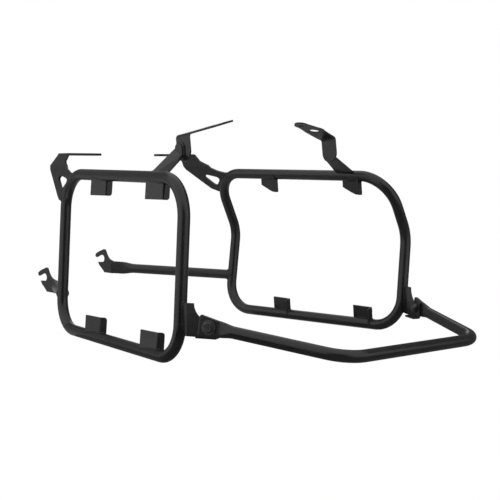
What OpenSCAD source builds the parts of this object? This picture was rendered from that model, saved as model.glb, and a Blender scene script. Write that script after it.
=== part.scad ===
// Pair of tubular side case carriers for a motorcycle, joined by a rear brace.
// X runs to the rear, Y to the right of the motorcycle, Z up.
// The origin lies midway between the two upper front fixing holes.

/* [Loops] */
// outside diameter of the tubes
tube_d = 18; // [16:0.5:20]
// length of a loop between its front and rear tubes, along X
loop_len = 389; // [360:1:410]
// height of a loop at its front tube
loop_h = 258; // [245:1:275]
// drop of the upper rails from their front to their rear end
top_drop = 5; // [0:0.5:8]
// bend radius of the loop corners, at the tube centre
corner_r = 54; // [44:1:60]
// bend radius of the upper rear corners
rear_top_r = 61; // [44:1:66]
// bend radius of the lower rear corners
rear_low_r = 48; // [44:1:60]
// half the distance between the lower rails at the front
front_half = 186; // [180:1:192]
// extra half width of the lower rails at the rear
splay = 47; // [40:1:54]
// distance that the upper rails lie inside the lower ones
lean_in = 22; // [18:1:26]
// distance that the upper rails lie ahead of the lower ones
lean_fwd = 10; // [6:1:14]
// outward bow of the right loop, which clears the silencer
bow = 40; // [34:0.5:44]
// height of the bow above the lower rail, at the front
bow_z = 148; // [142:1:152]
// bend radius of the bow
bow_r = 62; // [50:1:70]

/* [Case tabs] */
// length of a tab
tab_len = 44; // [40:1:52]
// height of a tab, from the centre of its rail
tab_h = 32.5; // [28:0.5:38]
// thickness of the tab sheet
tab_t = 3; // [2:0.5:4]
// distance of the outer tab face from the rail centre, half way along
tab_out = 5.4; // [4.5:0.1:6]
// depth of the folded side of a tab
tab_side = 12; // [10:0.5:15]
// distance from the front corner to the front tabs, along X
tab_front = 106; // [90:1:120]
// distance from the front corner to the rear tabs, along X
tab_rear = 289; // [270:1:294]

/* [Front brackets] */
// thickness of the front bracket plate
front_t = 4; // [3:0.5:5]
// lean of the left plate from upright
lean_left = 16; // [12:1:20]
// lean of the right plate, which follows the bowed tube
lean_right = 25; // [22:1:28]
// lean of the panel above the fold
panel_lean = 35; // [28:1:42]
// width of the fixing tongue at its tip
tongue_w = 26; // [22:1:30]
// half the distance between the front fixing holes
front_fix_half = 74; // [68:1:84]
// diameter of the front fixing holes
front_hole_d = 8.5; // [6:0.5:11]

/* [Rear straps] */
// thickness of the rear strap
strap_t = 3; // [2:0.5:4]
// width of the rear strap
strap_w = 31; // [28:1:34]
// half the distance between the upright strap faces
strap_half = 153; // [150:0.5:156]
// rise of the strap towards its tip
strap_rise = 14; // [12:1:18]
// rise of the strap towards the rear
strap_tilt = 7; // [3:1:10]
// diameter of the small hole at the tip
strap_hole_d = 9; // [6:0.5:11]
// diameter of the large hole
strap_big_d = 18; // [14:1:20]
// distance of the large hole from the fold
strap_big_at = 40.5; // [36:0.5:44]
// distance of the small hole from the fold
strap_small_at = 72.5; // [70:0.5:80]
// thickness of the strut under the strap
strut_t = 4; // [3:0.5:5]

/* [Gussets and brace] */
// thickness of the gusset plate
gusset_t = 3; // [2:0.5:4]
// height of the left brace bolt above the lower rail
bolt_z_left = 52.5; // [48:0.5:57]
// height of the right brace bolt above the lower rail
bolt_z_right = 39.5; // [37:0.5:46]
// distance of the brace bolts behind the rear tubes
bolt_back = 52; // [48:1:56]
// distance of the brace bolts inside the lower rails
bolt_in = 13.5; // [11:0.5:17]
// distance of the cross tube behind the rear tubes
brace_back = 230; // [200:1:250]
// half length of the cross tube between its corners
brace_half = 134.5; // [120:0.5:150]
// height of the cross tube above the lower rail
brace_z = 22; // [14:1:30]
// outside diameter of the brace tube
brace_d = 17; // [15:0.5:20]
// bend radius of the brace
brace_r = 50; // [40:1:60]
// thickness of a flattened tube end
flat_t = 5; // [4:0.5:6]
// height of a flattened brace end at its tip
flat_w = 30; // [27:0.5:32]
// diameter of the brace bolts
bolt_d = 8; // [6:1:10]
// clearance of the bolt holes on the diameter
bolt_gap = 0.8; // [0.4:0.1:1.2]

/* [Stays and hooks] */
// height of the right hook above the lower rail
hook_z_right = 85; // [80:1:90]
// height of the left hook above the lower rail
hook_z_left = 56; // [52:0.5:62]
// distance of the hook jaws ahead of the front tubes
hook_fwd = 257; // [240:1:270]
// half the distance between the hook plates
hook_half = 66.5; // [60:0.5:74]
// thickness of the hook plate
hook_t = 4; // [3:0.5:6]
// width of the hook jaw
jaw_w = 14; // [12:0.2:15]
// height of the right stay where it meets its loop
stay_z_right = 62; // [58:1:72]
// height of the left stay where it meets its loop
stay_z_left = 56; // [56:1:66]

/* [Hidden] */
$fn = 64;
tube_r = tube_d / 2;
// bends are a hair fatter than the straights, so that they join cleanly
lap = 0.02;
bend_in = 0.1;
function unit(v) = v / norm(v);
function flip(p, s) = [p[0], p[1] * s, p[2]];
// corners of the right loop, before the bow; the left one mirrors them
low_front = [0, front_half, 0];
low_rear = [loop_len, front_half + splay, 0];
rise = [-lean_fwd, -lean_in, loop_h];
top_front = low_front + rise;
top_rear = low_rear + rise - [0, 0, top_drop];
along = unit(low_rear - low_front);
outward = unit(cross(rise, along));
flat_out = unit([-splay, loop_len, 0]);
bow_rise = 7;
bow_front = low_front + rise * (bow_z / loop_h) + flat_out * bow;
bow_rear = low_rear + rise * ((bow_z + bow_rise) / loop_h) + flat_out * bow;
left_loop = [for (p = [low_front, low_rear, top_rear, top_front]) flip(p, -1)];
right_loop = [low_front, low_rear, bow_rear, top_rear, top_front, bow_front];
left_bends = [corner_r, rear_low_r, rear_top_r, corner_r];
right_bends = [corner_r, rear_low_r, bow_r, rear_top_r, corner_r, bow_r];
// points on the upright tubes, by side and height
function front_at(s, z) = s < 0 ? flip(low_front + rise * (z / loop_h), -1)
    : low_front + (bow_front - low_front) * (z / bow_z);
function rear_at(s, z) = s < 0 ? flip(low_rear + rise * (z / loop_h), -1)
    : low_rear + (bow_rear - low_rear) * (z / (bow_z + bow_rise));
// brace line
function bolt_z(s) = s < 0 ? bolt_z_left : bolt_z_right;
brace_slant = 2;
brace_tube_r = brace_d / 2;
function brace_end(s) = [loop_len + bolt_back, s * (front_half + splay - bolt_in), bolt_z(s)];
function brace_corner(s) = [loop_len + brace_back, s * brace_half, brace_z - brace_slant * s];
function arm(s) = brace_corner(s) - brace_end(s);
function arm_flat(s) = unit([arm(s)[0], arm(s)[1], 0]);
function arm_out(s) = cross([0, 0, 1], arm_flat(s)) * s;
// fixing point that the origin sits on
fix_x = -66;
fix_z = 292;
function hook_z(s) = s < 0 ? hook_z_left : hook_z_right;
function stay_z(s) = s < 0 ? stay_z_left : stay_z_right;

// places a child whose X, Y and Z axes follow the three directions given
module axes(o, a, b, c) {
    multmatrix([[a[0], b[0], c[0], o[0]], [a[1], b[1], c[1], o[1]],
        [a[2], b[2], c[2], o[2]], [0, 0, 0, 1]]) children();
}
// moves a child from the loops' frame to the part's frame
module placed() {
    translate([-fix_x, 0, -fix_z]) children();
}
module sided(s) {
    if (s < 0) mirror([0, 1, 0]) children();
    else children();
}
// any direction square to t
function side_of(t) = unit(abs(t[2]) < 0.9 ? cross([0, 0, 1], t) : cross([0, 1, 0], t));
module rod(a, b, r) {
    t = unit(b - a);
    n = side_of(t);
    axes(a, n, cross(t, n), t) cylinder(h = norm(b - a), r = r);
}
// length from a corner to the start of its bend
function cut_back(a, p, b, r) = r * tan(acos(unit(p - a) * unit(b - p)) / 2);
module bend(a, p, b, r, tube = tube_r) {
    d1 = unit(p - a);
    d2 = unit(b - p);
    turn = acos(d1 * d2);
    z = unit(cross(d1, d2));
    x = cross(d1, z);
    start = p - d1 * cut_back(a, p, b, r);
    axes(start - x * r, x, d1, z) rotate_extrude(angle = turn)
        translate([r, 0]) circle(r = tube + lap);
}
// closed tube through the points, with a bend at each of them
module ring(pts, bends) {
    n = len(pts);
    for (i = [0:n - 1]) {
        a = pts[(i + n - 1) % n];
        p = pts[i];
        b = pts[(i + 1) % n];
        c = pts[(i + 2) % n];
        t = unit(b - p);
        bend(a, p, b, bends[i]);
        rod(p + t * (cut_back(a, p, b, bends[i]) - bend_in),
            b - t * (cut_back(p, b, c, bends[(i + 1) % n]) - bend_in), tube_r);
    }
}
module loop_solid(s) {
    if (s < 0) ring(left_loop, left_bends);
    else ring(right_loop, right_bends);
}
module loop_left() { color("DimGray") placed() loop_solid(-1); }
module loop_right() { color("DimGray") placed() loop_solid(1); }

// folded case tab along X, rising along Z from its rail; the slanted cut is
// only on the upper tabs of the right loop
module tab_solid(cut, tab_h) {
    fold = 4;
    round = 5;
    difference() {
        union() {
            translate([0, tab_out - tab_t, 0]) cube([tab_len - fold, tab_t, tab_h]);
            translate([tab_len - fold, tab_out - fold, 0])
                rotate_extrude(angle = 90) translate([fold - tab_t, 0]) square([tab_t, tab_h]);
            translate([tab_len - tab_t, tab_out - tab_side, 0]) cube([tab_t, tab_side - fold, tab_h - round]);
            translate([tab_len - tab_t, tab_out - tab_side + round, 0])
                cube([tab_t, tab_side - fold - round, tab_h]);
            translate([tab_len - tab_t, tab_out - tab_side + round, tab_h - round])
                rotate([0, 90, 0]) cylinder(h = tab_t, r = round);
        }
        if (cut) translate([0, tab_out + 1, tab_h]) rotate([90, 0, 0]) linear_extrude(height = tab_t + 2)
            polygon([[-1, -13], [0, -12.5], [20, -3.5], [30, 0], [30, 1], [-1, 1]]);
    }
}
// the tabs stand parallel to X, so they cross their splayed rails at a small angle
module tab(s, from, to, at, up, high = tab_h) {
    out = unit(cross(rise, [1, 0, 0]));
    slope = (to - from) / (to[0] - from[0]);
    start = from + slope * (at + tab_len / 2) - [tab_len / 2, 0, 0];
    color("DimGray") placed() difference() {
        sided(s) axes(start, [1, 0, 0], out, up * cross([1, 0, 0], out)) tab_solid(up < 0 && s > 0, high);
        loop_solid(s);
    }
}
module tab_low(s, at) {
    tab(s, low_front, low_rear, at, 1, s > 0 ? tab_h - 3.5 : tab_h);
}
module tab_top(s, at) {
    tab(s, top_front, top_rear, at, -1);
}
module tab_left_top_front() { tab_top(-1, tab_front + 3); }
module tab_left_top_rear() { tab_top(-1, tab_rear + 1); }
module tab_left_low_front() { tab_low(-1, tab_front); }
module tab_left_low_rear() { tab_low(-1, tab_rear); }
module tab_right_top_front() { tab_top(1, tab_front); }
module tab_right_top_rear() { tab_top(1, tab_rear + 2); }
module tab_right_low_front() { tab_low(1, tab_front + 3); }
module tab_right_low_rear() { tab_low(1, tab_rear + 1); }

// front bracket: leaning plate with a three-cornered hole, a panel above
// its fold, and a level tongue that reaches inwards
panel_h = 20;
fold_y = 150.5;
// sheet that stands on the fold line and leans by the angle given, from upright
module leaning(angle) {
    h = along;
    e = [-h[1] * sin(angle), h[0] * sin(angle), -cos(angle)];
    axes([fix_x, fold_y, fix_z - panel_h], h, e, cross(h, e))
        translate([0, 0, -front_t / 2]) linear_extrude(height = front_t) children();
}
module front_solid(s) {
    lean = s < 0 ? lean_left : lean_right;
    low = s < 0 ? 8 : 0;
    root = fold_y - panel_h * tan(panel_lean);
    difference() {
        union() {
            // plate below the fold
            leaning(lean) difference() {
                polygon([[-25, 0], [41, 0], [46, 5], [61, 11], [84, 16], [84, 21], [66, 37], [59, 54 + low],
                    [48, 53 + low], [31 + low, 47 + low], [-21, 7]]);
                polygon([[24, 23.5], [25, 20.5], [28, 18.5], [33, 18.2], [56, 23], [60, 26], [60, 30],
                    [52, 38.5], [49, 40], [45, 39.5], [41, 37.5]]);
            }
            // panel above the fold
            leaning(panel_lean) polygon([[-25, 0], [-20, -panel_h / cos(panel_lean)],
                [19, -panel_h / cos(panel_lean)], [24, -10], [35, -3.5], [41, 0]]);
            // folds
            axes([fix_x, fold_y, fix_z - panel_h] - along * 25, flat_out, [0, 0, 1], along)
                cylinder(h = 66, r = front_t / 2 + lap);
            axes([fix_x, root, fix_z] - along * 20, flat_out, [0, 0, 1], along)
                cylinder(h = 39, r = front_t / 2 + lap);
            // tongue
            translate([fix_x, front_fix_half, fix_z - front_t / 2]) cylinder(h = front_t, r = tongue_w / 2);
            translate([fix_x, 0, fix_z - front_t / 2]) linear_extrude(height = front_t)
                polygon([[bend_in - tongue_w / 2, front_fix_half], [tongue_w / 2 - bend_in, front_fix_half],
                    [17, front_fix_half + 20], [18.9, root + 2.3], [-19.9, root - 2.4]]);
        }
        translate([fix_x, front_fix_half, fix_z - front_t])
            cylinder(h = 2 * front_t, r = front_hole_d / 2);
    }
}
module front_bracket(s) {
    color("DimGray") placed() difference() {
        sided(s) front_solid(s);
        loop_solid(s);
    }
}
module front_bracket_left() { front_bracket(-1); }
module front_bracket_right() { front_bracket(1); }

// rear strap: upright face with a round lower end, folded to a rising tongue
strap_o = [298, strap_half, 317];
fold_r = 5;
module strap_frame() {
    translate(strap_o) rotate([0, -strap_tilt, 0]) children();
}
strap_drop = 25;
// side view with the fold as a ring about its inside corner
module strap_side() {
    translate([-strap_t / 2, -strap_drop - strap_w])
        square([strap_t, strap_drop + strap_w - fold_r + bend_in]);
    translate([-fold_r, -fold_r]) {
        intersection() {
            difference() {
                circle(r = fold_r + strap_t / 2 + lap);
                circle(r = fold_r - strap_t / 2 - lap);
            }
            polygon([[0, 0], [4 * fold_r, 0], [4 * fold_r, 4 * fold_r],
                [4 * fold_r * sin(strap_rise), 4 * fold_r * cos(strap_rise)]]);
        }
        rotate(-strap_rise) translate([-100, fold_r - strap_t / 2]) square([100 + bend_in, strap_t]);
    }
}
module tongue_plane() {
    translate([0, -fold_r, -fold_r]) rotate([-strap_rise, 0, 0]) translate([0, 0, fold_r - strap_t / 2]) children();
}
module strap_solid() {
    w = strap_w / 2;
    big = [11.3, -strap_big_at];
    small = [13.5, -strap_small_at];
    big_r = 17;
    small_r = 11;
    strap_frame() difference() {
        intersection() {
            translate([-2 * w, 0, 0]) rotate([90, 0, 90]) linear_extrude(height = 5 * w) strap_side();
            // outline seen square to the tongue, round about its two holes
            tongue_plane() translate([0, 0, -60]) union() {
                linear_extrude(height = 80) polygon([[-w, 20], [w, 20], [w, -0.6], [w + 6.5, -22],
                    [big[0] + 16.4, -37.5], [big[0] + 15.8, -46], [small[0] + 10.6, -71], [small[0], small[1] - 4],
                    [small[0] - 10.2, -69], [big[0] - 14.4, -49], [big[0] - 16.1, -45],
                    [-9.5, -27], [-13.3, -13], [-w, -0.6]]);
                translate(big) cylinder(h = 80, r = big_r);
                translate(small) cylinder(h = 80, r = small_r);
            }
        }
        tongue_plane() translate([small[0], small[1], -1]) cylinder(h = strap_t + 2, r = strap_hole_d / 2);
        tongue_plane() translate([big[0], big[1], -1]) cylinder(h = strap_t + 2, r = strap_big_d / 2);
        // round lower end
        translate([0, strap_t, -strap_drop]) rotate([90, 0, 0]) linear_extrude(height = 2 * strap_t) difference() {
            translate([-w - 1, -2 * w]) square([2 * w + 2, 2 * w]);
            circle(r = w + lap);
        }
    }
}
module strap_left() { color("DimGray") placed() sided(-1) strap_solid(); }
module strap_right() { color("DimGray") placed() sided(1) strap_solid(); }

// tapering flat strut from the upper rail to the upright face of the strap
module strut(s) {
    y0 = strap_half + strap_t / 2 + strut_t / 2;
    z0 = 286;
    fall = atan2(26, 195 - y0);
    long = 45;
    color("DimGray") placed() difference() {
        sided(s) intersection() {
            // side view: lapped end, fold and slope
            translate([260, y0, z0]) rotate([90, 0, 90]) linear_extrude(height = 70) {
                translate([-strut_t / 2, 0]) square([strut_t, 20]);
                circle(r = strut_t / 2 + lap);
                rotate(-fall) translate([0, -strut_t / 2]) square([2 * long, strut_t]);
            }
            // outline seen across the rack
            translate([293.5, y0 + 2 * long, z0]) rotate([90, 0, 0]) linear_extrude(height = 3 * long)
                polygon([[-8.5, 0], [-7, 14], [-4, 17.5], [4, 17.5], [8, 14], [9.5, 0],
                    [21, -long * sin(fall)], [-16, -long * sin(fall)]]);
        }
        loop_solid(s);
        // nothing is left beyond the middle of the rail
        sided(s) translate([250, 0, 0]) axes([0, top_front[1] + 0.12 * 300 - 2, 200], [1, 0, 0], [0, 1, 0], [0, 0, 1])
            cube([100, 60, 80]);
    }
}
module strut_left() { strut(-1); }
module strut_right() { strut(1); }

// gusset: folded plate on the rear tube that takes the end of the brace
module gusset(s) {
    o = brace_end(s);
    t = arm_flat(s);
    n = arm_out(s);
    mid = -(flat_t + gusset_t) / 2;
    front = 36;
    low = 15;
    high = 31;
    fold = o - t * front + n * mid;
    tube = rear_at(s, o[2] + 8) + [3, s > 0 ? 1 : 0, 0];
    strip = [tube[0] - fold[0], tube[1] - fold[1], 0];
    d = unit(strip);
    edge = (gusset_t / 2) * [-d[1], d[0], 0];
    root = fold - edge;
    foot = fold + edge;
    color("DimGray") placed() difference() {
        union() {
            // plate against the brace, fold and strip to the tube, drawn from above
            translate([0, 0, o[2] - low]) linear_extrude(height = low + high) {
                polygon([for (p = [fold - n * (gusset_t / 2), fold + n * (gusset_t / 2),
                    fold + n * (gusset_t / 2) + t * (front + 12.5), fold - n * (gusset_t / 2) + t * (front + 12.5)])
                    [p[0], p[1]]]);
                translate([fold[0], fold[1]]) circle(r = gusset_t / 2 + lap);
                polygon([for (p = [root, foot, foot + strip, root + strip]) [p[0], p[1]]]);
            }
            // lower lip, folded inwards
            axes(o + n * (mid + gusset_t / 2) - [0, 0, low], t, n, [0, 0, 1])
                translate([-23, -12, -2]) cube([31, 12, gusset_t]);
        }
        // hollow upper edge, lower corner and bolt hole
        axes(o + n * mid, t, n, [0, 0, 1]) rotate([90, 0, 0]) translate([0, 0, -5]) linear_extrude(height = 10) {
            polygon([[-25, high + 1], [14, high + 1], [14, 9], [-2, 9]]);
            translate([-2, high]) circle(r = 23.5);
            polygon([[8.5, -low - 1], [14, -low + 4.5], [14, -low - 1]]);
            circle(r = (bolt_d + bolt_gap) / 2);
        }
        loop_solid(s);
    }
}
module gusset_left() { gusset(-1); }
module gusset_right() { gusset(1); }

// tube end pressed flat about a hole at 0, widest at its tip; it blends to the round tube
module pressed_end(tip, flat, blend, wide, thick, tube) {
    root = tube + (wide - tube) * blend / (tip + flat + blend);
    rotate([90, 0, 0]) translate([0, 0, -thick / 2]) linear_extrude(height = thick)
        polygon([[flat, root], [3 - tip, wide], [-tip, wide - 3], [-tip, 3 - wide], [3 - tip, -wide],
            [flat, -root]]);
    intersection() {
        translate([flat - bend_in, 0, 0]) rotate([0, 90, 0])
            cylinder(h = blend + bend_in, r1 = root - lap, r2 = tube + lap);
        translate([0, 0, -wide]) linear_extrude(height = 2 * wide)
            polygon([[flat - bend_in, lap - thick / 2], [flat + blend, -tube * 1.04],
                [flat + blend, tube * 1.04], [flat - bend_in, thick / 2 - lap]]);
    }
}
module brace_side(s) {
    e = brace_end(s);
    c = brace_corner(s);
    m = brace_corner(-s);
    t = unit(arm(s));
    n = arm_out(s);
    tip = 16;
    flat = 13;
    blend = 24;
    difference() {
        union() {
            axes(e, t, n, cross(t, n)) pressed_end(tip, flat, blend, flat_w / 2, flat_t, brace_tube_r);
            rod(e + t * (flat + blend - bend_in),
                c - t * (cut_back(e, c, m, brace_r) - bend_in), brace_tube_r);
        }
        rod(e - n * 20, e + n * 20, (bolt_d + bolt_gap) / 2);
    }
    bend(e, c, m, brace_r, brace_tube_r);
}
module brace() {
    t = unit(brace_corner(1) - brace_corner(-1));
    back = cut_back(brace_end(1), brace_corner(1), brace_corner(-1), brace_r) - bend_in;
    back_left = cut_back(brace_end(-1), brace_corner(-1), brace_corner(1), brace_r) - bend_in;
    color("DimGray") placed() {
        brace_side(-1);
        brace_side(1);
        rod(brace_corner(-1) + t * back_left, brace_corner(1) - t * back, brace_tube_r);
    }
}

// brace bolt: head outside, nut inside
washer_t = 1.8;
head_h = 5.3;
nut_h = 6.5;
module bolt_axis(s) {
    color("DarkGray") placed()
        axes(brace_end(s), arm_flat(s), cross(arm_out(s), arm_flat(s)), arm_out(s)) children();
}
module bolt_solid() {
    grip = flat_t + gusset_t + nut_h + 1.5;
    translate([0, 0, flat_t / 2 + washer_t]) cylinder(h = head_h, r = bolt_d * 0.81, $fn = 6);
    translate([0, 0, flat_t / 2 - grip]) cylinder(h = grip + washer_t + 1, r = bolt_d / 2);
}
module washer_solid() {
    translate([0, 0, flat_t / 2]) difference() {
        cylinder(h = washer_t, r = bolt_d * 1.31);
        translate([0, 0, -1]) cylinder(h = washer_t + 2, r = (bolt_d + bolt_gap) / 2);
    }
}
module nut_solid() {
    translate([0, 0, -flat_t / 2 - gusset_t - nut_h]) difference() {
        cylinder(h = nut_h, r = bolt_d * 0.81, $fn = 6);
        translate([0, 0, -1]) cylinder(h = nut_h + 2, r = bolt_d / 2);
    }
}
module bolt_left() { bolt_axis(-1) bolt_solid(); }
module bolt_right() { bolt_axis(1) bolt_solid(); }
module washer_left() { bolt_axis(-1) washer_solid(); }
module washer_right() { bolt_axis(1) washer_solid(); }
module nut_left() { bolt_axis(-1) nut_solid(); }
module nut_right() { bolt_axis(1) nut_solid(); }

// stay: tube with a pressed end, from the front tube of a loop to its hook plate
stay_drop = 15.5;
stay_knee = 36;
module stay(s) {
    thick = 8;
    high = 24;
    b = [-hook_fwd + stay_knee, s * hook_half, hook_z(s) - stay_drop];
    e = front_at(s, stay_z(s));
    t = unit(e - b);
    n = unit(cross([0, 0, 1], t));
    turn = [t[0], t[1], 0];
    color("DimGray") placed() difference() {
        axes(b, t, n, cross(t, n)) {
            pressed_end(8, 20, 28, high / 2, thick, tube_r);
            translate([20 + 28 - bend_in, 0, 0]) rotate([0, 90, 0])
                cylinder(h = norm(e - b) - 48 + bend_in, r = tube_r);
        }
        // the end is cut square to the plate that it meets
        translate([b[0] - 40, b[1] - 30, b[2] - 30]) cube([40, 60, 60]);
        loop_solid(s);
    }
}
module stay_left() { stay(-1); }
module stay_right() { stay(1); }

// hook plate with an open jaw for the footrest mount
module hook_solid(s) {
    translate([-hook_fwd, hook_half + hook_t / 2, hook_z(s)]) rotate([90, 0, 0]) linear_extrude(height = hook_t)
        difference() {
            polygon([[-26, 4.6], [-25, 7.9], [-18, 11.7], [-9, 15], [0, 17.6], [3, 19], [6, 19.2],
                [9, 17.6], [11, 14], [13.5, 9.5], [19, 3.6], [26, -0.5], [stay_knee, -3],
                [stay_knee, -28], [6, -28], [4.4, -26.2], [0, -22.7], [-6, -18.2], [-11.8, -14.7],
                [-14.4, -10.9]]);
            circle(r = jaw_w / 2);
            polygon([[0, -jaw_w / 2], [0, jaw_w / 2], [-9, jaw_w / 2 - 0.9], [-17, jaw_w / 2 - 4.3],
                [-21, jaw_w / 2 - 5.7], [-40, jaw_w / 2 - 6.7], [-40, -9], [-11.4, -jaw_w / 2 - 0.9]]);
        }
}
module hook_left() { color("DimGray") placed() sided(-1) hook_solid(-1); }
module hook_right() { color("DimGray") placed() sided(1) hook_solid(1); }

loop_left();
loop_right();
tab_left_top_front();
tab_left_top_rear();
tab_left_low_front();
tab_left_low_rear();
tab_right_top_front();
tab_right_top_rear();
tab_right_low_front();
tab_right_low_rear();
front_bracket_left();
front_bracket_right();
strap_left();
strap_right();
strut_left();
strut_right();
gusset_left();
gusset_right();
brace();
bolt_left();
bolt_right();
washer_left();
washer_right();
nut_left();
nut_right();
stay_left();
stay_right();
hook_left();
hook_right();
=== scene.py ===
import math
import bmesh
import bpy
from mathutils import Matrix, Vector
from mathutils.bvhtree import BVHTree


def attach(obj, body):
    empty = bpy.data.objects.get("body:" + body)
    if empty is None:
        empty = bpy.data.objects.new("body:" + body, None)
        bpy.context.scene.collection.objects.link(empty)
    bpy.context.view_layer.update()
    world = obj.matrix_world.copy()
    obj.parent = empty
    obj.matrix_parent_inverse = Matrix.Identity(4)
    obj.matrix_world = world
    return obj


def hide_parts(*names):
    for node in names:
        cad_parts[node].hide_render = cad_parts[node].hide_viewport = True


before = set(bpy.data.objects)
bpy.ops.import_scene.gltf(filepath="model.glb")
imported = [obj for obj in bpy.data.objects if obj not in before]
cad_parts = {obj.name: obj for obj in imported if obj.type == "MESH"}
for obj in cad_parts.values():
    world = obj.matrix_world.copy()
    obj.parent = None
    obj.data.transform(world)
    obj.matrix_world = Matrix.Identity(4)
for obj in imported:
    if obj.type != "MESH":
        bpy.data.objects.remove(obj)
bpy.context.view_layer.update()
print("frame loaded")

sides = {"left": -1, "right": 1}
upright = Vector((0, 0, 1))
loopsZero = Vector((66, 0, -292))  # the loops' own zero in the part's frame, in mm
joinGap = 0.0005                   # vertices closer than this become one, in mm


def newPiece(name, bm, material, smoothAngle=35):
    # a bmesh becomes a piece at the origin, smooth up to the angle
    bmesh.ops.recalc_face_normals(bm, faces=bm.faces)
    mesh = bpy.data.meshes.new(name)
    bm.to_mesh(mesh)
    bm.free()
    for face in mesh.polygons:
        face.use_smooth = True
    mesh.set_sharp_from_angle(angle=math.radians(smoothAngle))
    mesh.materials.append(material)
    piece = bpy.data.objects.new(name, mesh)
    bpy.context.scene.collection.objects.link(piece)
    return piece


def onSide(point, sign):
    # the same point on the left (-1) or the right (1)
    return Vector((point[0], point[1] * sign, point[2]))


def toMetres(bm):
    # from millimetres round the loops' zero to metres in the part's frame
    for v in bm.verts:
        v.co = (v.co + loopsZero) / 1000


# materials: one black coat for the frame, a duller one for the fasteners
coat = {"color": (0.0085, 0.0085, 0.0092), "lightColor": (0.0115, 0.0115, 0.0122),
        "roughness": (0.25, 0.33), "flow": 45, "grain": 1400, "grainDepth": 0.00004,
        "metal": 0.0, "reflect": 0.45}
zinc = {"color": (0.040, 0.040, 0.044), "lightColor": (0.062, 0.062, 0.067),
        "roughness": (0.26, 0.40), "flow": 160, "grain": 2600, "grainDepth": 0.00002,
        "metal": 0.45, "reflect": 0.5}
peel = {"flowDetail": 3, "grainDetail": 2, "toneSpread": (0.35, 0.65), "glossSpread": (0.3, 0.7),
        "strength": 0.5}


def blackCoatGroup():
    # slow changes of tone and gloss, and the height of a fine orange peel
    group = bpy.data.node_groups.new("blackCoat", "ShaderNodeTree")
    for name, kind in (("Place", "Vector"), ("Dark Color", "Color"), ("Light Color", "Color"),
                       ("Low Roughness", "Float"), ("High Roughness", "Float"),
                       ("Flow Scale", "Float"), ("Grain Scale", "Float")):
        group.interface.new_socket(name, in_out="INPUT", socket_type="NodeSocket" + kind)
    for name, kind in (("Color", "Color"), ("Roughness", "Float"), ("Height", "Float")):
        group.interface.new_socket(name, in_out="OUTPUT", socket_type="NodeSocket" + kind)
    given = group.nodes.new("NodeGroupInput")
    out = group.nodes.new("NodeGroupOutput")
    link = group.links.new

    def noise(scale, detail):
        node = group.nodes.new("ShaderNodeTexNoise")
        node.inputs["Detail"].default_value = detail
        link(given.outputs["Place"], node.inputs["Vector"])
        link(given.outputs[scale], node.inputs["Scale"])
        return node.outputs["Fac"]

    def spread(source, limits):
        node = group.nodes.new("ShaderNodeMapRange")
        node.inputs["From Min"].default_value, node.inputs["From Max"].default_value = limits
        link(source, node.inputs["Value"])
        return node

    flow = noise("Flow Scale", peel["flowDetail"])
    mix = group.nodes.new("ShaderNodeMix")
    mix.data_type = "RGBA"
    link(spread(flow, peel["toneSpread"]).outputs["Result"], mix.inputs["Factor"])
    link(given.outputs["Dark Color"], mix.inputs["A"])
    link(given.outputs["Light Color"], mix.inputs["B"])
    link(mix.outputs["Result"], out.inputs["Color"])
    gloss = spread(flow, peel["glossSpread"])
    link(given.outputs["Low Roughness"], gloss.inputs["To Min"])
    link(given.outputs["High Roughness"], gloss.inputs["To Max"])
    link(gloss.outputs["Result"], out.inputs["Roughness"])
    link(noise("Grain Scale", peel["grainDetail"]), out.inputs["Height"])
    return group


blackCoat = blackCoatGroup()


def coatedMetal(name, values):
    material = bpy.data.materials.new(name)
    material.use_nodes = True
    tree = material.node_tree
    shader = tree.nodes["Principled BSDF"]
    coords = tree.nodes.new("ShaderNodeTexCoord")
    effect = tree.nodes.new("ShaderNodeGroup")
    effect.node_tree = blackCoat
    tree.links.new(coords.outputs["Object"], effect.inputs["Place"])
    effect.inputs["Dark Color"].default_value = (*values["color"], 1)
    effect.inputs["Light Color"].default_value = (*values["lightColor"], 1)
    low, high = values["roughness"]
    effect.inputs["Low Roughness"].default_value = low
    effect.inputs["High Roughness"].default_value = high
    effect.inputs["Flow Scale"].default_value = values["flow"]
    effect.inputs["Grain Scale"].default_value = values["grain"]
    tree.links.new(effect.outputs["Color"], shader.inputs["Base Color"])
    tree.links.new(effect.outputs["Roughness"], shader.inputs["Roughness"])
    bump = tree.nodes.new("ShaderNodeBump")
    bump.inputs["Strength"].default_value = peel["strength"]
    bump.inputs["Distance"].default_value = values["grainDepth"]
    tree.links.new(effect.outputs["Height"], bump.inputs["Height"])
    tree.links.new(bump.outputs["Normal"], shader.inputs["Normal"])
    shader.inputs["Metallic"].default_value = values["metal"]
    shader.inputs["Specular IOR Level"].default_value = values["reflect"]
    return material


frameCoat = coatedMetal("frameCoat", coat)
boltCoat = coatedMetal("boltCoat", zinc)
print("materials ready")

# bent tubes, all in millimetres until they are finished
tube = {"radius": 9.0, "around": 56, "bendStep": 4.5, "fewestSteps": 6, "smooth": 40}
pressed = {"rings": 12, "widenRings": 4, "sideFullness": 0.55, "faceSpread": 3.2,
           "faceFullness": 0.8, "tipShares": (0.45, 0.8, 1.0)}


def bulgeAt(share):
    return math.sqrt(max(0, 1 - share * share))


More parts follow.
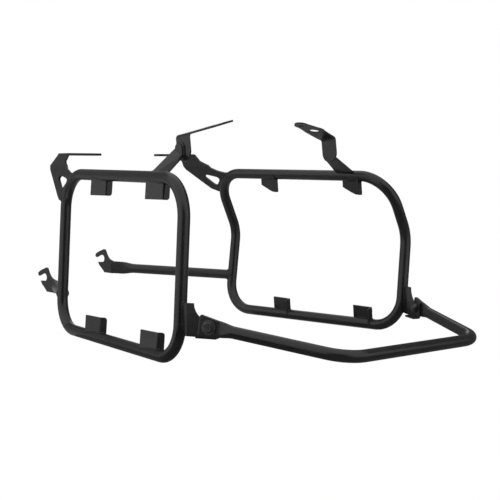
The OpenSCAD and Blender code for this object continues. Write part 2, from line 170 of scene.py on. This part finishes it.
class TubeMaker:
    # draws a tube ring by ring, with extrude along straights and spin round bends

    def __init__(self, start, direction, radius):
        self.bm = bmesh.new()
        self.radius = radius
        self.at = Vector(start)
        self.along = Vector(direction).normalized()
        turn = upright.rotation_difference(self.along).to_matrix().to_4x4()
        made = bmesh.ops.create_circle(self.bm, cap_ends=False, segments=tube["around"],
                                       radius=radius, matrix=Matrix.Translation(self.at) @ turn)
        self.ring = made["verts"]
        self.edges = list({e for v in self.ring for e in v.link_edges})
        self.firstEdges = list(self.edges)

    def backToStart(self, start, direction, radius):
        # goes on from the first ring, the other way
        self.at = start.copy()
        self.along = direction.normalized()
        self.radius = radius
        self.edges = self.firstEdges
        self.ring = list({v for e in self.edges for v in e.verts})

    def keepRing(self, geometry):
        self.ring = [g for g in geometry if isinstance(g, bmesh.types.BMVert)]
        self.edges = [g for g in geometry if isinstance(g, bmesh.types.BMEdge)]

    def extrude(self):
        self.keepRing(bmesh.ops.extrude_edge_only(self.bm, edges=self.edges)["geom"])

    def straight(self, target):
        step = Vector(target) - self.at
        self.extrude()
        bmesh.ops.translate(self.bm, verts=self.ring, vec=step)
        self.at = Vector(target)

    def bend(self, corner, following, radius):
        # straight up to the bend at the corner, then round it towards the following point
        before = (Vector(corner) - self.at).normalized()
        after = (Vector(following) - Vector(corner)).normalized()
        angle = before.angle(after)
        cut = radius * math.tan(angle / 2)
        self.straight(Vector(corner) - before * cut)
        axis = before.cross(after).normalized()
        centre = self.at + axis.cross(before) * radius
        steps = max(tube["fewestSteps"], int(math.degrees(angle) / tube["bendStep"]))
        made = bmesh.ops.spin(self.bm, geom=self.ring + self.edges, cent=centre, axis=axis,
                              angle=angle, steps=steps, use_duplicate=False)
        self.keepRing(made["geom_last"])
        self.at = Vector(corner) + after * cut
        self.along = after

    def closeLoop(self):
        bmesh.ops.bridge_loops(self.bm, edges=self.edges + self.firstEdges)

    def press(self, target, wide, thick):
        # rings towards the target whose outline goes from round to a flat, upright oval
        start = self.at.copy()
        self.wideAxis = (upright - self.along * upright.dot(self.along)).normalized()
        self.thinAxis = self.along.cross(self.wideAxis)
        angles = {v: math.atan2((v.co - self.at).dot(self.thinAxis),
                                (v.co - self.at).dot(self.wideAxis)) for v in self.ring}
        ordered = sorted(self.ring, key=angles.get)
        spread = [angles[v] for v in ordered]
        for k in range(1, pressed["rings"] + 1):
            self.extrude()
            fresh = set(self.ring)
            partner = {e.other_vert(v): v for v in self.ring for e in v.link_edges
                       if e.other_vert(v) not in fresh}
            ordered = [partner[v] for v in ordered]
            share = k / pressed["rings"]
            ease = share * share * (3 - 2 * share)
            centre = start.lerp(Vector(target), share)
            for v, a in zip(ordered, spread):
                c, s = math.cos(a), math.sin(a)
                flatW = wide / 2 * math.copysign(abs(c) ** pressed["sideFullness"], c)
                full = min(1, abs(s) * pressed["faceSpread"]) ** pressed["faceFullness"]
                flatT = thick / 2 * math.copysign(full, s)
                w = self.radius * c * (1 - ease) + flatW * ease
                t = self.radius * s * (1 - ease) + flatT * ease
                v.co = centre + self.wideAxis * w + self.thinAxis * t
        self.at = Vector(target)

    def widen(self, target, widthNow, widthThen):
        # the flat part, which grows evenly to its greatest width
        rings = pressed["widenRings"]
        grow = (widthThen / widthNow - 1) / rings
        start = self.at
        step = (target - start) / rings
        for k in range(rings):
            self.extrude()
            for v in self.ring:
                w = (v.co - (start + step * k)).dot(self.wideAxis)
                v.co = v.co + step + self.wideAxis * w * grow / (1 + grow * k)
        self.at = target

    def tip(self, length, wideDrop, thickShare):
        # rounds off the end and closes it
        centre = self.at
        for share in pressed["tipShares"]:
            self.extrude()
            target = self.at + self.along * length * share
            lost = 1 - bulgeAt(share)
            for v in self.ring:
                w = (v.co - centre).dot(self.wideAxis)
                t = (v.co - centre).dot(self.thinAxis)
                w = math.copysign(max(0, abs(w) - wideDrop * lost), w)
                v.co = target + self.wideAxis * w \
                    + self.thinAxis * t * (1 - (1 - thickShare) * lost)
            centre = target
        self.cap()

    def cap(self):
        bmesh.ops.contextual_create(self.bm, geom=self.edges)

    def finish(self, name):
        bmesh.ops.remove_doubles(self.bm, verts=self.bm.verts, dist=joinGap)
        toMetres(self.bm)
        piece = newPiece(name, self.bm, frameCoat, tube["smooth"])
        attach(piece, "root")
        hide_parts(name)


# the two loops
loop = {"length": 389.0, "height": 258.0, "topDrop": 5.0, "frontHalf": 186.0, "splay": 47.0,
        "leanIn": 22.0, "leanForward": 10.0, "bow": 40.0, "bowHeight": 148.0, "bowRise": 7.0,
        "frontRadius": 54.0, "rearTopRadius": 61.0, "rearLowRadius": 48.0, "bowRadius": 62.0}

lowFront = Vector((0, loop["frontHalf"], 0))
lowRear = Vector((loop["length"], loop["frontHalf"] + loop["splay"], 0))
rise = Vector((-loop["leanForward"], -loop["leanIn"], loop["height"]))
topFront = lowFront + rise
topRear = lowRear + rise - Vector((0, 0, loop["topDrop"]))
outwards = Vector((-loop["splay"], loop["length"], 0)).normalized() * loop["bow"]
bowFront = lowFront + rise * (loop["bowHeight"] / loop["height"]) + outwards
bowRear = lowRear + rise * ((loop["bowHeight"] + loop["bowRise"]) / loop["height"]) + outwards


def loopTube(name, corners):
    start = (corners[-1][0] + corners[0][0]) / 2
    maker = TubeMaker(start, corners[0][0] - corners[-1][0], tube["radius"])
    for i, (corner, radius) in enumerate(corners):
        maker.bend(corner, corners[(i + 1) % len(corners)][0], radius)
    maker.closeLoop()
    maker.finish(name)


loopTube("loop_left", [(onSide(lowFront, -1), loop["frontRadius"]),
                       (onSide(lowRear, -1), loop["rearLowRadius"]),
                       (onSide(topRear, -1), loop["rearTopRadius"]),
                       (onSide(topFront, -1), loop["frontRadius"])])
loopTube("loop_right", [(lowFront, loop["frontRadius"]), (lowRear, loop["rearLowRadius"]),
                        (bowRear, loop["bowRadius"]), (topRear, loop["rearTopRadius"]),
                        (topFront, loop["frontRadius"]), (bowFront, loop["bowRadius"])])
print("loops ready")

# the rear brace, drawn from its middle to both ends
brace = {"radius": 8.5, "back": 230.0, "half": 134.5, "height": 22.0, "slant": 2.0,
         "bendRadius": 50.0, "boltBack": 52.0, "boltIn": 13.5, "boltLeft": 52.5, "boltRight": 39.5,
         "wide": 30.0, "thick": 5.0, "tip": 16.0, "flat": 13.0, "blend": 24.0,
         "tipRound": 3.0, "tipThin": 0.75}


def braceEnd(sign):
    return Vector((loop["length"] + brace["boltBack"],
                   sign * (loop["frontHalf"] + loop["splay"] - brace["boltIn"]),
                   brace["boltLeft"] if sign < 0 else brace["boltRight"]))


def braceCorner(sign):
    return Vector((loop["length"] + brace["back"], sign * brace["half"],
                   brace["height"] - brace["slant"] * sign))


def pressBraceEnd(maker, sign):
    end = braceEnd(sign)
    along = (end - braceCorner(sign)).normalized()
    maker.along = along
    maker.straight(end - along * (brace["flat"] + brace["blend"]))
    width = brace["radius"] * 2
    whole = brace["tip"] + brace["flat"] + brace["blend"]
    root = width + (brace["wide"] - width) * brace["blend"] / whole
    maker.press(end - along * brace["flat"], root, brace["thick"])
    maker.widen(end + along * (brace["tip"] - brace["tipRound"]), root, brace["wide"])
    maker.tip(brace["tipRound"], brace["tipRound"], brace["tipThin"])


middle = (braceCorner(1) + braceCorner(-1)) / 2
maker = TubeMaker(middle, braceCorner(1) - middle, brace["radius"])
maker.bend(braceCorner(1), braceEnd(1), brace["bendRadius"])
pressBraceEnd(maker, 1)
maker.backToStart(middle, braceCorner(-1) - middle, brace["radius"])
maker.bend(braceCorner(-1), braceEnd(-1), brace["bendRadius"])
pressBraceEnd(maker, -1)
maker.finish("brace")

# the stays, from the front uprights forward to the hook plates
stay = {"forward": 257.0, "half": 66.5, "drop": 15.5, "knee": 36.0, "thick": 8.0, "wide": 24.0,
        "flat": 20.0, "blend": 28.0, "hook": {"left": 56.0, "right": 85.0},
        "meet": {"left": 56.0, "right": 62.0}}


def stayTube(s, sign):
    knee = Vector((-stay["forward"] + stay["knee"], sign * stay["half"],
                   stay["hook"][s] - stay["drop"]))
    if sign < 0:
        end = onSide(lowFront + rise * (stay["meet"][s] / loop["height"]), -1)
    else:
        end = lowFront + (bowFront - lowFront) * (stay["meet"][s] / loop["bowHeight"])
    along = (knee - end).normalized()
    maker = TubeMaker(end, along, tube["radius"])
    maker.straight(knee - along * (stay["flat"] + stay["blend"]))
    maker.press(knee - along * stay["flat"], stay["wide"], stay["thick"])
    maker.straight(knee)
    for v in maker.ring:  # the end is cut square to the motorcycle
        v.co = v.co + along * (knee.x - v.co.x) / along.x
    maker.cap()
    maker.finish(f"stay_{s}")


for s, sign in sides.items():
    stayTube(s, sign)
print("brace and stays ready")

# plates: copies of the CAD meshes with rounded edges, in metres
plate = {"round": 0.00045, "segments": 2, "sharp": 32.0, "flat": 1.0, "smooth": 30,
         "mergeGap": 0.000002, "touch": 0.00012, "faceTouch": 0.00018, "search": 0.002}

# how far a strut's edge is twisted up at its fold, from which x to which x, and where in height
# the twist starts, peaks and ends, in mm
twist = {"strut_left": (303.0, 285.0, 9.0), "strut_right": (285.0, 303.0, 3.5)}
twistHeights = {"low": 262.5, "fold": 286.5, "top": 300.0}


def twistStrut(bm, stays, rises, lift):
    low, fold, top = twistHeights["low"], twistHeights["fold"], twistHeights["top"]
    for v in bm.verts:
        x, height = v.co.x * 1000 - loopsZero.x, v.co.z * 1000 - loopsZero.z
        across = (x - stays) / (rises - stays)
        share = (height - low) / (fold - low) if height < fold else (top - height) / (top - fold)
        v.co.z += lift * min(1, max(0, across)) * min(1, max(0, share)) / 1000


def cadMesh(node):
    bm = bmesh.new()
    bm.from_mesh(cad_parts[node].data)
    bmesh.ops.remove_doubles(bm, verts=bm.verts, dist=plate["mergeGap"])
    if node in twist:
        twistStrut(bm, *twist[node])
    return bm


def nearTo(others):
    # tells whether a point lies on one of the other nodes
    trees = []
    for other in others:
        bm = cadMesh(other)
        trees.append(BVHTree.FromBMesh(bm))
        bm.free()

    def near(point, limit=plate["touch"]):
        hits = [tree.find_nearest(point, plate["search"]) for tree in trees]
        return any(hit[0] is not None and hit[3] < limit for hit in hits)
    return near


def roundedPlate(node, others=()):
    near = nearTo(others)
    bm = cadMesh(node)
    bmesh.ops.dissolve_limit(bm, angle_limit=math.radians(plate["flat"]), verts=bm.verts,
                             edges=bm.edges)
    edges = [e for e in bm.edges if len(e.link_faces) == 2
             and math.degrees(e.calc_face_angle(0)) > plate["sharp"]
             and not (near(e.verts[0].co) and near(e.verts[1].co))]
    bmesh.ops.bevel(bm, geom=edges, offset=plate["round"], offset_type="OFFSET",
                    segments=plate["segments"], profile=0.5, affect="EDGES", clamp_overlap=True,
                    material=-1)
    bmesh.ops.triangulate(bm, faces=[f for f in bm.faces if len(f.verts) > 4])
    piece = newPiece(node, bm, frameCoat, plate["smooth"])
    weighted = piece.modifiers.new("cleanNormals", "WEIGHTED_NORMAL")
    weighted.keep_sharp = True
    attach(piece, "root")
    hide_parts(node)


tabPlaces = ("top_front", "top_rear", "low_front", "low_rear")
for s in sides:
    for place in tabPlaces:
        roundedPlate(f"tab_{s}_{place}", [f"loop_{s}"])
    roundedPlate(f"front_bracket_{s}", [f"loop_{s}"])
    roundedPlate(f"strap_{s}")
    roundedPlate(f"strut_{s}", [f"loop_{s}"])
    roundedPlate(f"gusset_{s}", [f"loop_{s}"])
    roundedPlate(f"hook_{s}")
print("plates ready")

# weld beads along the seams, in metres
weld = {"pitch": 0.0021, "ripple": 0.16, "step": 0.0007, "around": 10, "shortest": 0.004,
        "endStart": 0.0004, "endLength": 0.0022, "endLeast": 0.05, "smoothings": 3, "smooth": 60}
bead = {"tab": 0.0012, "bracket": 0.0016, "strut": 0.0016, "gusset": 0.0009, "stay": 0.0018,
        "hook": 0.0015, "strap": 0.0024}


def seamChains(node, others):
    # lines along the node's edges where it meets the others
    near = nearTo(others)
    bm = cadMesh(node)
    seated = {f: near(f.calc_center_median(), plate["faceTouch"])
              and all(near(v.co) for v in f.verts) for f in bm.faces}
    links = {}
    for e in bm.edges:
        if len(e.link_faces) == 2 and seated[e.link_faces[0]] != seated[e.link_faces[1]]:
            a, b = e.verts
            links.setdefault(a.index, []).append(b.index)
            links.setdefault(b.index, []).append(a.index)
    places = {v.index: v.co.copy() for v in bm.verts}
    bm.free()
    chains, used = [], set()
    for first in sorted(links, key=lambda i: (len(links[i]) == 2, i)):
        for second in links[first]:
            if (first, second) in used:
                continue
            chain = [first, second]
            used.update({(first, second), (second, first)})
            while len(links[chain[-1]]) == 2:
                a, b = links[chain[-1]]
                after = b if a == chain[-2] else a
                if (chain[-1], after) in used:
                    break
                used.update({(chain[-1], after), (after, chain[-1])})
                chain.append(after)
            chains.append([places[i] for i in chain])
    return chains


def evenPoints(points):
    # evenly spaced and smoothed points along a line, and the line's length
    lengths = [0.0]
    for a, b in zip(points, points[1:]):
        lengths.append(lengths[-1] + (b - a).length)
    total = lengths[-1]
    count = max(4, int(total / weld["step"]))
    out, k = [], 0
    for i in range(count + 1):
        want = total * i / count
        while k < len(lengths) - 2 and lengths[k + 1] < want:
            k += 1
        span = max(lengths[k + 1] - lengths[k], 1e-9)
        out.append(points[k].lerp(points[k + 1], (want - lengths[k]) / span))
    for _ in range(weld["smoothings"]):
        inner = [(a + b * 2 + c) / 4 for a, b, c in zip(out, out[1:], out[2:])]
        out = [out[0]] + inner + [out[-1]]
    return out, total


def beadSize(radius, walked, total):
    # rippled along its way and rounded off at both ends
    start, length = weld["endStart"], weld["endLength"]
    ends = min(1.0, (walked + start) / length, (total - walked + start) / length)
    ripple = abs(math.sin(math.pi * walked / weld["pitch"])) - 0.5
    return radius * math.sqrt(max(weld["endLeast"], 1 - (1 - ends) ** 2)) \
        * (1 + weld["ripple"] * ripple)


def weldBead(bm, line, radius):
    points, total = evenPoints(line)
    if total < weld["shortest"]:
        return
    last = len(points) - 1
    for i, point in enumerate(points):
        along = (points[min(i + 1, last)] - points[max(i - 1, 0)]).normalized()
        size = beadSize(radius, total * i / last, total)
        if i == 0:
            turn = upright.rotation_difference(along).to_matrix().to_4x4()
            ring = bmesh.ops.create_circle(bm, cap_ends=True, segments=weld["around"], radius=size,
                                           matrix=Matrix.Translation(point) @ turn)["verts"]
            edges = list({e for v in ring for e in v.link_edges})
        else:
            made = bmesh.ops.extrude_edge_only(bm, edges=edges)["geom"]
            ring = [g for g in made if isinstance(g, bmesh.types.BMVert)]
            edges = [g for g in made if isinstance(g, bmesh.types.BMEdge)]
            turn = before[1].rotation_difference(along)
            for v in ring:
                v.co = point + (turn @ (v.co - before[0])).normalized() * size
        before = (point, along)
    bmesh.ops.contextual_create(bm, geom=edges)


def weldSeams(s):
    loopNode = f"loop_{s}"
    seams = [(f"tab_{s}_{place}", loopNode, bead["tab"]) for place in tabPlaces]
    seams += [(f"front_bracket_{s}", loopNode, bead["bracket"]),
              (f"strut_{s}", loopNode, bead["strut"]),
              (f"gusset_{s}", loopNode, bead["gusset"]),
              (f"stay_{s}", loopNode, bead["stay"]),
              (f"hook_{s}", f"stay_{s}", bead["hook"]),
              (f"strut_{s}", f"strap_{s}", bead["strap"])]
    bm = bmesh.new()
    for node, other, radius in seams:
        for line in seamChains(node, [other]):
            weldBead(bm, line, radius)
    piece = newPiece(f"welds_{s}", bm, frameCoat, weld["smooth"])
    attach(piece, "root")


for s in sides:
    weldSeams(s)
print("welds ready")

# bolts, washers and nuts of the brace, in mm along the bolt's axis; the profiles are (radius,
# height) pairs: the flange from the washer up, the boss from the head's top, the nut's collar
# from its outer end
fastener = {"boltRadius": 4.0, "washerThick": 1.8, "washerRadius": 10.5, "headHeight": 5.3,
            "nutHeight": 6.5, "across": 6.48, "gusset": 3.0, "stub": 1.5, "smooth": 30,
            "cornerRound": 0.35, "chamfer": 0.9, "hexStart": 0.9, "nutHexEnd": 1.6,
            "shankStart": 0.5, "threadPitch": 1.0, "threadDepth": 0.45, "threadFlank": 0.1,
            "endTaper": 0.9, "endHeight": 0.5,
            "washerPlay": 0.4, "washerLowEdge": 0.3, "washerTopEdge": 0.4, "washerBoreEdge": 0.2,
            "flange": ((0, 0), (7.2, 0), (7.9, 0.3), (7.9, 0.8), (6.6, 1.3), (0, 1.3)),
            "boss": ((0, -0.02), (2.6, -0.02), (3.1, 0), (3.1, -0.4), (0, -0.4)),
            "collar": ((4.05, 2.5), (4.05, 0.2), (4.3, 0), (5.0, 0), (5.5, 0.4), (5.5, 2.2))}


def boltFrame(sign):
    # the bolt's axis stands square to the pressed end, pointing outwards
    along = braceCorner(sign) - braceEnd(sign)
    along.z = 0
    along.normalize()
    out = upright.cross(along) * sign
    turn = Matrix((along, out.cross(along), out)).transposed().to_4x4()
    return Matrix.Translation(braceEnd(sign)) @ turn


def placeFastener(bm, name, sign):
    matrix = boltFrame(sign)
    for v in bm.verts:
        v.co = matrix @ v.co
    toMetres(bm)
    piece = newPiece(name, bm, boltCoat, fastener["smooth"])
    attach(piece, "root")
    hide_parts(name)


def hexPrism(bm, low, high, chamferTop):
    # a hexagon with rounded corners, chamfered at its top or its foot
    radius = fastener["across"]
    made = bmesh.ops.create_cone(bm, cap_ends=True, segments=6, radius1=radius, radius2=radius,
                                 depth=high - low,
                                 matrix=Matrix.Translation((0, 0, (high + low) / 2)))
    corners = [e for e in {e for v in made["verts"] for e in v.link_edges}
               if abs(e.verts[0].co.z - e.verts[1].co.z) > 1]
    bmesh.ops.bevel(bm, geom=corners, offset=fastener["cornerRound"], offset_type="OFFSET",
                    segments=2, profile=0.5, affect="EDGES", material=-1)
    flat = radius * math.cos(math.pi / 6)
    end, inwards = (high, -1) if chamferTop else (low, 1)
    for v in bm.verts:
        reach = Vector((v.co.x, v.co.y)).length
        if reach > flat * 1.02 and abs(v.co.z - end) < 0.01:
            v.co.z = end + inwards * fastener["chamfer"] * (reach - flat) / (radius - flat)


def turned(bm, profile, height=0, segments=48):
    # spins a profile about the bolt's axis
    verts = [bm.verts.new((r, 0, z + height)) for r, z in profile]
    edges = [bm.edges.new((a, b)) for a, b in zip(verts, verts[1:])]
    bmesh.ops.spin(bm, geom=verts + edges, cent=(0, 0, 0), axis=(0, 0, 1), angle=math.tau,
                   steps=segments, use_duplicate=False, use_merge=True)
    bmesh.ops.remove_doubles(bm, verts=bm.verts, dist=joinGap)


def shankProfile(start, threadStart, end):
    # a plain shank, then a thread of rings, then a tapered end
    r, depth, flank = fastener["boltRadius"], fastener["threadDepth"], fastener["threadFlank"]
    taper, height = fastener["endTaper"], fastener["endHeight"]
    profile = [(0, start), (r, start), (r, threadStart)]
    z = threadStart
    while z > end + taper:
        profile += [(r, z - flank), (r - depth, z - flank - depth)]
        z -= fastener["threadPitch"]
    return profile + [(r - taper / 3, end + height), (r - taper, end), (0, end)]


def washerProfile(low, high):
    bore, rim = fastener["boltRadius"] + fastener["washerPlay"], fastener["washerRadius"]
    lowEdge, topEdge = fastener["washerLowEdge"], fastener["washerTopEdge"]
    boreEdge = fastener["washerBoreEdge"]
    return [(bore, low), (rim - lowEdge, low), (rim, low + lowEdge), (rim, high - topEdge),
            (rim - topEdge, high), (bore + boreEdge, high), (bore, high - boreEdge), (bore, low)]


seat = brace["thick"] / 2
washerTop = seat + fastener["washerThick"]
headTop = washerTop + fastener["headHeight"]
nutSeat = -seat - fastener["gusset"]
nutEnd = nutSeat - fastener["nutHeight"]

for s, sign in sides.items():
    bm = bmesh.new()
    hexPrism(bm, washerTop + fastener["hexStart"], headTop, True)
    turned(bm, fastener["flange"], washerTop)
    turned(bm, fastener["boss"], headTop)
    turned(bm, shankProfile(washerTop + fastener["shankStart"], nutSeat,
                            nutEnd - fastener["stub"]), segments=32)
    placeFastener(bm, f"bolt_{s}", sign)

    bm = bmesh.new()
    turned(bm, washerProfile(seat, washerTop))
    placeFastener(bm, f"washer_{s}", sign)

    bm = bmesh.new()
    hexPrism(bm, nutEnd + fastener["nutHexEnd"], nutSeat, False)
    turned(bm, fastener["collar"], nutEnd)
    placeFastener(bm, f"nut_{s}", sign)
print("fasteners ready")

# stage
stageValues = {"floorDrop": -0.301, "floorSize": 9.0, "floorTone": 0.8, "worldTone": 0.55,
               "middle": (0.28, 0.0, -0.13)}


def seenDirectly(tree):
    # 1 for camera, mirror and glass rays, 0 for the light that falls on matt surfaces
    path = tree.nodes.new("ShaderNodeLightPath")
    seen = path.outputs["Is Camera Ray"]
    for ray in ("Is Glossy Ray", "Is Transmission Ray"):
        either = tree.nodes.new("ShaderNodeMath")
        either.operation = "MAXIMUM"
        tree.links.new(seen, either.inputs[0])
        tree.links.new(path.outputs[ray], either.inputs[1])
        seen = either.outputs["Value"]
    return seen


def whiteWhereSeen(name, tone):
    # white where it is seen or mirrored, a pale matt surface for the light
    material = bpy.data.materials.new(name)
    material.use_nodes = True
    tree = material.node_tree
    tree.nodes.clear()
    out = tree.nodes.new("ShaderNodeOutputMaterial")
    mix = tree.nodes.new("ShaderNodeMixShader")
    diffuse = tree.nodes.new("ShaderNodeBsdfDiffuse")
    diffuse.inputs["Color"].default_value = (tone, tone, tone, 1)
    white = tree.nodes.new("ShaderNodeEmission")
    tree.links.new(seenDirectly(tree), mix.inputs["Fac"])
    tree.links.new(diffuse.outputs["BSDF"], mix.inputs[1])
    tree.links.new(white.outputs["Emission"], mix.inputs[2])
    tree.links.new(mix.outputs["Shader"], out.inputs["Surface"])
    return material


def stageSheet(name, width, height, place, facing, material):
    # a flat sheet, turned to face a point
    bm = bmesh.new()
    turn = (Vector(facing) - Vector(place)).to_track_quat("Z", "Y").to_matrix().to_4x4()
    size = Matrix.Diagonal((width / 2, height / 2, 1, 1))
    bmesh.ops.create_grid(bm, x_segments=1, y_segments=1, size=1,
                          matrix=Matrix.Translation(place) @ turn @ size)
    sheet = newPiece(name, bm, material)
    return sheet


floorPlace = Vector((stageValues["middle"][0], 0, stageValues["floorDrop"]))
stageSheet("floor", stageValues["floorSize"], stageValues["floorSize"], floorPlace,
           floorPlace + upright, whiteWhereSeen("floorWhite", stageValues["floorTone"]))

world = bpy.data.worlds.new("studio")
bpy.context.scene.world = world
world.use_nodes = True
tree = world.node_tree
mix = tree.nodes.new("ShaderNodeMix")
mix.data_type = "RGBA"
mix.inputs["A"].default_value = (*[stageValues["worldTone"]] * 3, 1)
mix.inputs["B"].default_value = (1, 1, 1, 1)
tree.links.new(seenDirectly(tree), mix.inputs["Factor"])
tree.links.new(mix.outputs["Result"], tree.nodes["Background"].inputs["Color"])


def around(azimuth, distance, height):
    # a place round the middle of the stage; the camera stands at -41 degrees
    angle = math.radians(azimuth)
    return Vector((stageValues["middle"][0] + distance * math.cos(angle),
                   distance * math.sin(angle), height))


# soft lamps: two on the left, one on the right, one above
lamps = {
    "leftSoft": {"place": around(-100, 2.6, 0.7), "size": (2.0, 2.0), "power": 22},
    "frontSoft": {"place": around(-155, 2.6, 0.7), "size": (2.0, 2.0), "power": 18},
    "rightSoft": {"place": around(10, 2.8, 0.7), "size": (1.4, 2.0), "power": 16},
    "topSoft": {"place": around(-41, 0.5, 2.3), "size": (3.0, 3.0), "power": 12},
}
for name, values in lamps.items():
    data = bpy.data.lights.new(name, "AREA")
    data.shape = "RECTANGLE"
    data.size, data.size_y = values["size"]
    data.energy = values["power"]
    lamp = bpy.data.objects.new(name, data)
    bpy.context.scene.collection.objects.link(lamp)
    lamp.location = values["place"]
    lamp.visible_glossy = False  # the white room is what mirrors in the coat
    aim = Vector(stageValues["middle"]) - values["place"]
    lamp.rotation_euler = aim.to_track_quat("-Z", "Y").to_euler()

# dark cards that only mirror in the coat, as round a studio table
cards = {
    "cameraCard": {"place": around(-41, 3.6, 0.6), "size": (3.6, 3.0), "flat": False, "tone": 0.0},
    "frontCard": {"place": around(180, 3.4, 1.5), "size": (4.2, 4.4), "flat": False, "tone": 0.22},
    "farCard": {"place": around(90, 3.4, 1.5), "size": (5.8, 4.4), "flat": False, "tone": 0.12},
    "nearFloorCard": {"place": around(-41, 1.9, -0.299), "size": (2.6, 2.2), "flat": True,
                      "tone": 0.0},
    "farFloorCard": {"place": around(90, 1.5, -0.299), "size": (5.0, 3.6), "flat": True,
                     "tone": 0.15},
    "frontFloorCard": {"place": around(-155, 2.15, -0.2985), "size": (3.6, 4.4), "flat": True,
                       "tone": 0.4},
}
for name, values in cards.items():
    dark = bpy.data.materials.new(name)
    dark.use_nodes = True
    shader = dark.node_tree.nodes["Principled BSDF"]
    shader.inputs["Base Color"].default_value = (0, 0, 0, 1)
    shader.inputs["Specular IOR Level"].default_value = 0
    shader.inputs["Emission Color"].default_value = (1, 1, 1, 1)
    shader.inputs["Emission Strength"].default_value = values["tone"]
    place = values["place"]
    facing = place + upright if values["flat"] else Vector((stageValues["middle"][0], 0, place.z))
    card = stageSheet(name, *values["size"], place, facing, dark)
    card.visible_camera = card.visible_diffuse = card.visible_shadow = False
print("stage ready")

# camera fitted to the photo
cameraFit = {"place": (1.5900245, -1.0930840, -0.0262278), "lens": 74.707, "sensor": 36,
             "right": (0.65821389, 0.75282849, -0.00193375),
             "down": (0.05735743, -0.05270965, -0.99696129),
             "ahead": (-0.75064279, 0.65610286, -0.07787453)}
cameraData = bpy.data.cameras.new("camera")
cameraData.lens = cameraFit["lens"]
cameraData.sensor_width = cameraFit["sensor"]
camera = bpy.data.objects.new("camera", cameraData)
bpy.context.scene.collection.objects.link(camera)
axes = (Vector(cameraFit["right"]), -Vector(cameraFit["down"]), -Vector(cameraFit["ahead"]))
turn = Matrix(axes).transposed().to_4x4()
camera.matrix_world = Matrix.Translation(cameraFit["place"]) @ turn
bpy.context.scene.camera = camera
bpy.context.scene.view_settings.view_transform = "Standard"

print("camera ready")
